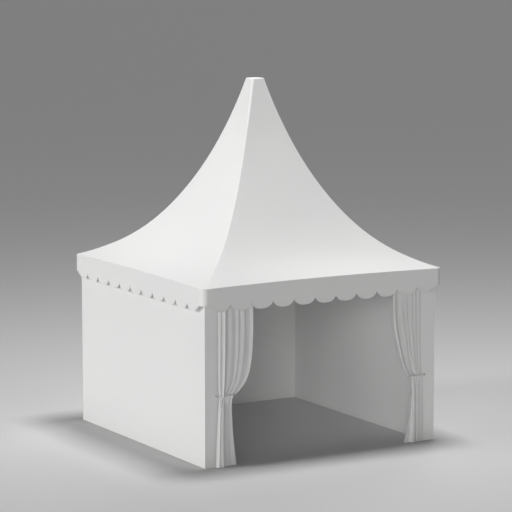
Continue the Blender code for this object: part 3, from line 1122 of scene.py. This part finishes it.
def tubeAlong(name, points, radius, sides=8, closed=False):
    # a round bar bent through points
    points = [Vector(point) for point in points]
    rings = []
    normal = None
    for i, point in enumerate(points):
        before = points[i - 1] if closed or i else point
        after = points[(i + 1) % len(points)] if closed or i < len(points) - 1 else point
        tangent = (after - before).normalized()
        if normal is None:
            normal = tangent.orthogonal().normalized()
        normal = (normal - tangent * normal.dot(tangent)).normalized()
        rings.append(ringRound(point, normal, tangent.cross(normal), radius, sides))
    return smoothMesh(ringsMesh(name, rings, closed))


def joinMeshes(name, meshes):
    bm = bmesh.new()
    for mesh in meshes:
        bm.from_mesh(mesh)
        bpy.data.meshes.remove(mesh)
    return meshFrom(bm, name)


def buildBand(side):
    shape = curtainSides[side]
    sign, tie = shape["sign"], shape["tieHeight"]
    outline, girth = bundleOutline(side)
    rows = []
    for k in band["levels"]:
        grow = band["clear"] + band["cup"] * (1 - k * k)
        places = [spot + way * grow for spot, way in outline]
        rows.append([(sign * x, y, tie + k * band["height"] / 2) for x, y in places])
    across = [girth * i / band["points"] for i in range(band["points"] + 1)]
    steps = len(rows) - 1
    upwards = [band["height"] * r / steps for r in range(steps + 1)]
    name = "tie_band_cloth_" + side
    mesh = gridMesh(name, rows, across, upwards, closed=True, flip=sign < 0)
    piece = makePiece(name, smoothMesh(mesh, 60), curtainCloth, ["tie_band_" + side])
    thicken(piece, band["thickness"], 1.0)
    # the loop that the band ends in, the ring in it and the hook on the cover
    middleY = sum(spot.y for spot, way in outline) / len(outline)
    start = Vector((sign * (outline[0][0].x - 0.004), middleY, tie))
    end = Vector((sign * (halfWidth - band["loopEnd"]), middleY - 0.002, tie + 0.008))
    loopRows = []
    steps = band["loopSteps"]
    for k in range(steps + 1):
        middle = start.lerp(end, k / steps)
        width = band["height"] * (band["loopHalf"] - band["loopTaper"] * (k / steps))
        loopRows.append([middle + Vector((0, 0, width * part)) for part in (-1, -0.5, 0, 0.5, 1)])
    clothPlaces = [0.004 * k for k in range(steps + 1)]
    loop = gridMesh("loop", loopRows, clothPlaces, clothPlaces)
    loopPiece = makePiece("tie_loop_" + side, smoothMesh(loop), curtainCloth)
    thicken(loopPiece, band["loopThickness"], 0.0)
    flat = (girth + band["ends"], band["height"])
    centre = end + Vector((sign * 0.006, 0, 0))
    ring = ringRound(centre, Vector((1, 0, 0)), Vector((0, 0.25, 1)), band["ringRadius"], 20)
    x, top = sign * (halfWidth - band["hookReach"]), tie + band["hookRise"]
    hook = [(x, out - halfWidth, top + up) for out, up in band["hookBend"]]
    plate = [(x, -0.0002 - halfWidth, top), (x, -0.0030 - halfWidth, top)]
    parts = [
        tubeAlong("ring", ring, band["ringWire"], 8, True), tubeAlong("hook", hook, band["hookWire"]),
        tubeAlong("plate", plate, band["plateRadius"], 20),
    ]
    metal = joinMeshes("tie_hook_" + side, parts)
    makePiece("tie_hook_" + side, smoothMesh(metal), boltMetal)


for side in curtainSides:
    buildBand(side)

print("curtain rail")
rail = {
    "wall": 0.0028,
    "slot": 0.010,
    "bevel": 0.0006,
    "gliders": 9,             # on each side, from here to there in from the tent's outer corner
    "gliderFrom": 0.262,
    "gliderTo": 0.766,
    "gliderRise": 0.006,
    "gliderWidth": 0.012,
    "gliderDepth": 0.008,
    "gliderHeight": 0.018,
    "eye": 0.0065,
    "eyeWire": 0.0013,
    "eyeDrop": 0.014,
}
railLow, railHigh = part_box("curtain_track")
railMiddle = (railLow.y + railHigh.y) / 2


def buildRail():
    # an extruded channel, open downwards, that the gliders run in
    thick, slot = rail["wall"], rail["slot"] / 2
    y0, y1, z0, z1 = railLow.y, railHigh.y, railLow.z, railHigh.z
    section = [
        (railMiddle - slot, z0), (y0, z0), (y0, z1), (y1, z1), (y1, z0), (railMiddle + slot, z0),
        (railMiddle + slot, z0 + thick), (y1 - thick, z0 + thick), (y1 - thick, z1 - thick),
        (y0 + thick, z1 - thick), (y0 + thick, z0 + thick), (railMiddle - slot, z0 + thick),
    ]
    mesh = ringsMesh("curtain_rail", [[(x, y, z) for y, z in section] for x in (railLow.x, railHigh.x)])
    piece = makePiece("curtain_rail", mesh, alongX, ["curtain_track"])
    bevel = piece.modifiers.new("edges", "BEVEL")
    bevel.width = rail["bevel"]
    bevel.segments = 2


def gliderShape():
    # a nylon glider with its eye, on every point
    sizes = {"Width": rail["gliderWidth"], "Eye": rail["eye"]}
    sketch, points, size = startShape("glider_shape", sizes)
    bodySize = sketch.vector(size["Width"], rail["gliderDepth"], rail["gliderHeight"])
    body = sketch.node("GeometryNodeMeshCube", None, {"Size": bodySize})
    circle = ("GeometryNodeCurvePrimitiveCircle", {"mode": "RADIUS"})
    sockets = {
        "Curve": sketch.node(*circle, {"Resolution": 16, "Radius": size["Eye"]}),
        "Profile Curve": sketch.node(*circle, {"Resolution": 6, "Radius": rail["eyeWire"]}),
    }
    eye = sketch.node("GeometryNodeCurveToMesh", None, sockets)
    sockets = {"Geometry": eye, "Translation": (0, 0, -rail["eyeDrop"]), "Rotation": (quarter, 0, 0)}
    hung = sketch.node("GeometryNodeTransform", None, sockets)
    onPoints(sketch, points, sketch.join(body, hung), nylon)
    return sketch, sizes


def lineMesh(name, lines, facing=None):
    # lines of points joined by edges; lone points take a facing
    points, edges = [], []
    for line in lines:
        edges += [(len(points) + i, len(points) + i + 1) for i in range(len(line) - 1)]
        points += line
    mesh = bpy.data.meshes.new(name)
    mesh.from_pydata(points, edges, [])
    if facing:
        layer = mesh.attributes.new("facing", "FLOAT_VECTOR", "POINT")
        for item, direction in zip(layer.data, facing):
            item.vector = direction
    return mesh


buildRail()
gliderPlaces = []
for sign in (-1, 1):
    for i in range(rail["gliders"]):
        u = rail["gliderFrom"] + (rail["gliderTo"] - rail["gliderFrom"]) * i / (rail["gliders"] - 1)
        gliderPlaces.append([(sign * (halfWidth - u), railMiddle, railLow.z + rail["gliderRise"])])
gliders = runShape("curtain_gliders", *gliderShape(), lineMesh("glider_places", gliderPlaces))
makePiece("curtain_gliders", smoothMesh(gliders), None)

print("frame")
for name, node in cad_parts.items():
    if name.startswith("eave_beam"):
        finish = alongX if name.endswith(("front", "back")) else alongY
    elif name.startswith(("corner_post", "king_pole")):
        finish = upright
    elif name.startswith("corner_head"):
        finish = castMetal
    elif name.startswith("cross_cable"):
        finish = ropeSteel
    else:
        finish = zinc
    if not node.hide_render:
        node.data.materials.clear()
        node.data.materials.append(finish)


def turnedRod(name, profile, start, along, sides=16):
    # a round piece turned on the line from start: profile is (distance along, radius)
    across = along.orthogonal().normalized()
    other = along.cross(across)
    rings = []
    for distance, radius in profile:
        rings.append(ringRound(start + along * distance, across, other, radius, sides))
    return ringsMesh(name, rings)


# a sleeve at each end of every cable, and a turnbuckle near its head
fittings = []
end = cable["turnbuckleEnd"]
turnbuckle = [*end, *((cable["turnbuckle"] - distance, radius) for distance, radius in reversed(end))]
for signX in (-1, 1):
    for signY in (-1, 1):
        near = Vector((signX * cableLow.x, signY * cableLow.y, cable["heights"][0]))
        far = Vector((signX * cableHigh.x, signY * cableHigh.y, cable["heights"][1]))
        near, far = near + (far - near) * cable["nearGap"], far - (far - near) * cable["farGap"]
        along = (far - near).normalized()
        fittings.append(turnedRod("sleeve", cable["sleeve"], near, along))
        fittings.append(turnedRod("sleeve", cable["sleeve"], far, -along))
        start = far - along * (cable["fromHead"] + cable["turnbuckle"])
        fittings.append(turnedRod("turnbuckle", turnbuckle, start, along, 12))
mesh = smoothMesh(joinMeshes("cable_fittings", fittings), 30)
makePiece("cable_fittings", mesh, boltMetal)

bolt = {
    "headRadius": 0.0095,
    "headHeight": 0.0065,
    "washerRadius": 0.013,
    "washerThickness": 0.0016,
    "headLift": 0.0012,
    "along": (-1.745, 1.745),      # of the pairs through each beam
    "heights": (2.545, 2.625),
    "beamGap": 0.0006,
    "footGap": 0.0004,
}


def boltShape():
    # a hexagon head on a washer, on every point, standing out along the point's facing
    sizes = {
        "Head Radius": bolt["headRadius"], "Head Height": bolt["headHeight"],
        "Washer Radius": bolt["washerRadius"],
    }
    sketch, points, size = startShape("bolt_shape", sizes)
    sockets = {"Vertices": 20, "Radius": size["Washer Radius"], "Depth": bolt["washerThickness"]}
    washer = sketch.node("GeometryNodeMeshCylinder", None, sockets)
    sockets = {"Vertices": 6, "Radius": size["Head Radius"], "Depth": size["Head Height"]}
    head = sketch.node("GeometryNodeMeshCylinder", None, sockets)
    lift = sketch.vector(0.0, 0.0, size["Head Height"] * 0.5 + bolt["headLift"])
    raised = sketch.node("GeometryNodeTransform", None, {"Geometry": head, "Translation": lift})
    settings = {"data_type": "FLOAT_VECTOR"}
    facing = sketch.node("GeometryNodeInputNamedAttribute", settings, {"Name": "facing"})
    onPoints(sketch, points, sketch.join(washer, raised), boltMetal, facing)
    return sketch, sizes


places, facing = [], []
for turns in range(4):
    for along in bolt["along"]:
        for z in bolt["heights"]:
            places.append(quarterTurned(Vector((liningFace - bolt["beamGap"], along, z)), turns))
            facing.append(quarterTurned(Vector((-1, 0, 0)), turns))
footLow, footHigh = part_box("mast_foot")
for turns in range(4):
    look = quarterTurned(Vector((1, 0, 0)), turns)
    places.append(look * (footHigh.x + bolt["footGap"]) + Vector((0, 0, (footLow.z + footHigh.z) / 2)))
    facing.append(look)
boltPlaces = lineMesh("bolt_places", [[place] for place in places], facing)
bolts = runShape("frame_bolts", *boltShape(), boltPlaces)
makePiece("frame_bolts", smoothMesh(bolts, 30), None)

print("stitches")
stitch = {
    "pitch": 0.0095,
    "length": 0.0058,
    "thickness": 0.0010,
    "points": 48,             # of the line that they follow, for each scallop
    "bindingShare": 0.72,     # how far up the binding they run
}


def stitchShape():
    # a short stitch at every pitch along the lines, laid along them
    sizes = {"Pitch": stitch["pitch"], "Length": stitch["length"], "Thickness": stitch["thickness"]}
    sketch, lines, size = startShape("stitch_shape", sizes)
    curve = sketch.node("GeometryNodeMeshToCurve", None, {"Mesh": lines})
    sockets = {"Curve": curve, "Length": size["Pitch"]}
    spaced = sketch.node("GeometryNodeResampleCurve", {"mode": "LENGTH"}, sockets)
    bead = sketch.node("GeometryNodeMeshIcoSphere", None, {"Radius": 1.0, "Subdivisions": 1})
    scale = sketch.vector(size["Thickness"], size["Thickness"], size["Length"] * 0.5)
    shaped = sketch.node("GeometryNodeTransform", None, {"Geometry": bead, "Scale": scale})
    onPoints(sketch, spaced, shaped, thread, sketch.node("GeometryNodeInputTangent"))
    return sketch, sizes


def valanceStitchLine():
    # along the binding of one side, a little below its upper edge
    line = []
    count = valance["scallops"] * stitch["points"]
    rise = valance["bindingWidth"] * stitch["bindingShare"]
    step = 0.002
    face = eaveHalf - valance["setBack"] + valance["bindingRise"] + 0.0002
    for i in range(count + 1):
        share = i / count * 2 - 1
        drop = scallopEdge(min(share + step, 1)) - scallopEdge(max(share - step, -1))
        slope = drop / (2 * step * straightEave)
        z = scallopEdge(share) + rise * math.sqrt(1 + slope * slope)
        z = min(z, valance["cuspHeight"] + valance["bindingWidth"])
        line.append(Vector((face, straightEave * share, z)))
    return line


sketch, sizes = stitchShape()
line = valanceStitchLine()
lines = [[quarterTurned(spot, turns) for spot in line] for turns in range(4)]
mesh = runShape("valance_stitches", sketch, sizes, lineMesh("valance_lines", lines))
makePiece("valance_stitches", smoothMesh(mesh, 180), None)
lines = []
for side in curtainSides:
    row = curtainRow(side, curtain["stitchHeight"])
    lines.append([Vector((x, y - curtain["thickness"] * 0.6, z)) for x, y, z in row])
mesh = runShape("curtain_stitches", sketch, sizes, lineMesh("curtain_lines", lines))
makePiece("curtain_stitches", smoothMesh(mesh, 180), None)

print("studio")
studio = {
    "floorRadius": 400.0,
    "floorColour": (0.74, 0.74, 0.74, 1),
    "floorShade": (0.6, 0.6, 0.6, 1),
    # low suns as degrees round from the front and up from level, with a wide disc for soft shadows
    "suns": (
        ("left_sun", -99, 11, 1.46), ("front_sun", -37, 8, 0.89), ("doorway_sun", -60, 3, 0.38),
        ("back_sun", 140, 35, 0.40),
    ),
    "sunDisc": 25,
    "topPlace": (1.4, 0, 17.0),
    "topSize": 4.0,
    "topPower": 1610.0,
    "insidePlace": (0.35, -0.75, 1.45),    # a weak lamp in the tent, which no camera sees
    "insideRadius": 0.4,
    "insidePower": 2.9,
    "fill": 0.06,
}
view = {
    "turn": -30.1674,         # degrees round from the front, and up from level
    "rise": 8.3271,
    "distance": 39.010,
    "lens": 177.47,
    "target": (0.0135, -0.0078, 2.7356),
}


def towards(turn, rise):
    # the way from the tent that is turned and raised by these degrees
    turn, rise = math.radians(turn), math.radians(rise)
    return Vector((math.sin(turn) * math.cos(rise), -math.cos(turn) * math.cos(rise), math.sin(rise)))


def addLight(name, kind, energy, place=(0, 0, 0), **settings):
    light = bpy.data.lights.new(name, kind)
    light.energy = energy
    for setting, value in settings.items():
        setattr(light, setting, value)
    lamp = addObject(name, light)
    lamp.location = place
    return lamp


def buildStudio():
    bm = bmesh.new()
    bmesh.ops.create_circle(bm, cap_ends=True, radius=studio["floorRadius"], segments=96)
    mesh = meshFrom(bm, "studio_floor")
    floor = addObject("studio_floor", mesh)
    floor.location.z = -0.0005
    material, sketch, place = newFinish("studio_floor", 0.9)
    tone = noiseOn(sketch, place, 0.6, 3.0) * 0.06
    feed(sketch, mixColour(sketch, tone, studio["floorColour"], studio["floorShade"]))
    mesh.materials.append(material)
    for name, turn, rise, strength in studio["suns"]:
        sun = addLight(name, "SUN", strength, angle=math.radians(studio["sunDisc"]))
        sun.rotation_euler = towards(turn, rise).to_track_quat("Z", "Y").to_euler()
    addLight("top_softbox", "AREA", studio["topPower"], studio["topPlace"], size=studio["topSize"])
    settings = {"shadow_soft_size": studio["insideRadius"]}
    inside = addLight("inside_lamp", "POINT", studio["insidePower"], studio["insidePlace"], **settings)
    inside.visible_camera = False
    world = bpy.data.worlds.new("studio")
    world.use_nodes = True
    background = world.node_tree.nodes["Background"].inputs
    background["Color"].default_value = (1, 1, 1, 1)
    background["Strength"].default_value = studio["fill"]
    bpy.context.scene.world = world


def buildCamera():
    back = towards(view["turn"], view["rise"])
    lens = bpy.data.cameras.new("camera")
    lens.lens = view["lens"]
    lens.sensor_width = 36.0
    lens.clip_end = 900.0
    camera = addObject("camera", lens)
    camera.location = Vector(view["target"]) + back * view["distance"]
    camera.rotation_euler = (-back).to_track_quat("-Z", "Y").to_euler()
    bpy.context.scene.camera = camera


buildStudio()
buildCamera()
bpy.context.scene.view_settings.view_transform = "Standard"
